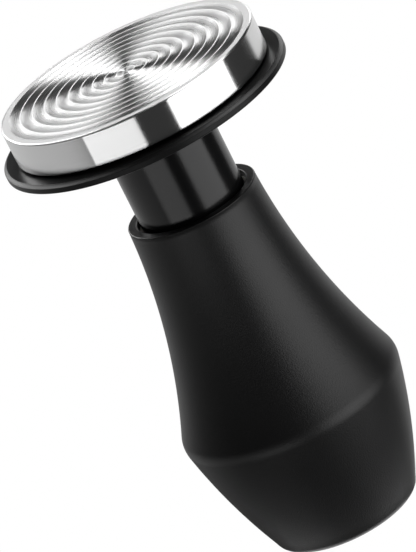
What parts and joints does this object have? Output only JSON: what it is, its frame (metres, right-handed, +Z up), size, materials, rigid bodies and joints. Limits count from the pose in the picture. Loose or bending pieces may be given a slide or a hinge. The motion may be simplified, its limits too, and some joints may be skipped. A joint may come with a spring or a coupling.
{
  "type": "espresso tamper",
  "caption": "Spring-loaded self-levelling espresso tamper: ripple-faced steel base, stepped levelling plate on a sliding column, and a flared handle pressed down against a spring.",
  "frame": {"origin": "centre of the base's underside, on the tamper's axis, with the tamper standing on its base", "axes": "+Z up along the tamper's axis, from the base to the handle; X and Y any way round, as every piece is turned about Z"},
  "size_m": [0.0654, 0.0654, 0.113],
  "materials": {
    "base_steel": "fine turned stainless steel",
    "washer_steel": "plain steel",
    "shaft_steel": "ground steel",
    "collar_brass": "turned brass",
    "spring_steel": "drawn spring wire",
    "fastener_steel": "zinc-plated steel",
    "bush_plastic": "natural acetal",
    "bush_bronze": "sintered bronze",
    "plate_black": "black anodised, satin",
    "column_black": "black anodised, semi-gloss",
    "handle_black": "bead-blasted, black anodised, matte",
    "cap_black": "black anodised, matte",
    "seal_rubber": "nitrile rubber"
  },
  "bodies": {
    "base_unit": {"ripple_base": "base_steel", "base_washer": "washer_steel", "centre_shaft": "shaft_steel", "spring_collar": "collar_brass", "collar_clip": "spring_steel", "leveller_spring": "spring_steel", "stop_washer": "bush_plastic", "piston": "shaft_steel", "piston_nut": "fastener_steel", "main_spring": "spring_steel"},
    "leveller": {"levelling_plate": "plate_black", "column": "column_black", "plate_screws": "fastener_steel", "leveller_bush": "bush_plastic"},
    "handle": {"handle_shell": "handle_black", "column_guide": "bush_plastic", "shaft_bush": "bush_bronze", "spring_seat": "washer_steel", "end_cap": "cap_black", "cap_seal": "seal_rubber"}
  },
  "joints": [
    {"name": "leveller_lift", "type": "slide", "parent": "base_unit", "child": "leveller", "axis": [0, 0, 1], "range_m": [0, 0.011], "stiffness_N_per_m": 360, "springref_m": -0.008, "deforming": ["leveller_spring"]},
    {"name": "handle_press", "type": "slide", "parent": "base_unit", "child": "handle", "axis": [0, 0, -1], "range_m": [0, 0.008], "stiffness_N_per_m": 10000, "springref_m": -0.003, "deforming": ["main_spring"]}
  ]
}
